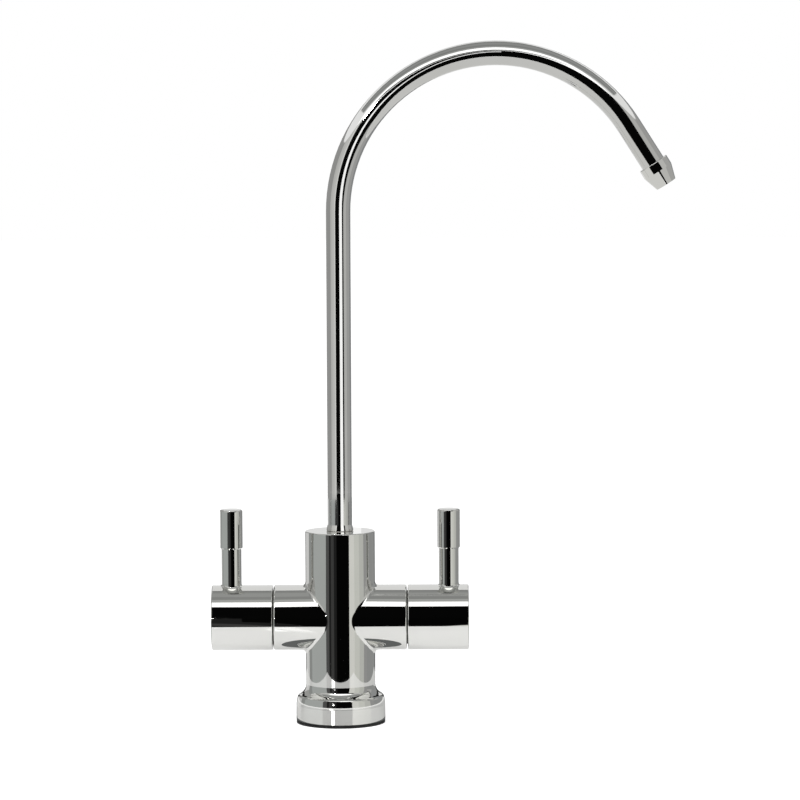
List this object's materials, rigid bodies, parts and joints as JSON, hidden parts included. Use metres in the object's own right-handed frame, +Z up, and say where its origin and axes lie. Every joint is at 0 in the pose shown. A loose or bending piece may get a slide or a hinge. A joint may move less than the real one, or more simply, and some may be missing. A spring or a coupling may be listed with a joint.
{
  "type": "two-way tap",
  "caption": "Column tap with quarter-turn lever valves on two side arms and a swivelling gooseneck spout with a flared nozzle.",
  "frame": {"origin": "centre of the base gasket's underside, on the surface that the tap stands on", "axes": "+Z up along the column, +X towards the right handle and the spout's outlet at rest, -Y towards the user"},
  "size_m": [0.209, 0.0402, 0.3068],
  "materials": {
    "chrome": "polished chrome plate on brass",
    "tube_chrome": "polished chrome plate on drawn tube",
    "rubber": "moulded black rubber",
    "seal_rubber": "moulded nitrile",
    "acetal": "machined white acetal",
    "fibre": "red fibre washer",
    "brass": "turned brass",
    "alumina": "lapped alumina",
    "spring_steel": "stamped spring steel"
  },
  "bodies": {
    "tap_body": {"body_casting": "chrome", "base_gasket": "rubber", "spout_bush": "acetal", "left_cartridge_bonnet": "brass", "left_bonnet_washer": "fibre", "left_fixed_disc": "alumina", "left_seat_seal": "seal_rubber", "right_cartridge_bonnet": "brass", "right_bonnet_washer": "fibre", "right_fixed_disc": "alumina", "right_seat_seal": "seal_rubber"},
    "spout": {"spout_tube": "tube_chrome", "spout_spigot": "chrome", "spout_nozzle": "chrome", "spout_upper_o_ring": "seal_rubber", "spout_lower_o_ring": "seal_rubber", "spout_retaining_ring": "spring_steel"},
    "left_handle": {"left_handle_hub": "chrome", "left_handle_lever": "chrome", "left_spindle": "brass", "left_moving_disc": "alumina", "left_spindle_o_rings": "seal_rubber", "left_spindle_circlip": "spring_steel"},
    "right_handle": {"right_handle_hub": "chrome", "right_handle_lever": "chrome", "right_spindle": "brass", "right_moving_disc": "alumina", "right_spindle_o_rings": "seal_rubber", "right_spindle_circlip": "spring_steel"}
  },
  "joints": [
    {"name": "spout_swivel", "type": "hinge", "parent": "tap_body", "child": "spout", "pos_m": [0, 0, 0.08], "axis": [0, 0, 1], "continuous": true},
    {"name": "left_lever_turn", "type": "hinge", "parent": "tap_body", "child": "left_handle", "pos_m": [-0.044, 0, 0.0476], "axis": [1, 0, 0], "range_deg": [0, 90]},
    {"name": "right_lever_turn", "type": "hinge", "parent": "tap_body", "child": "right_handle", "pos_m": [0.044, 0, 0.0476], "axis": [1, 0, 0], "range_deg": [0, 90]}
  ]
}
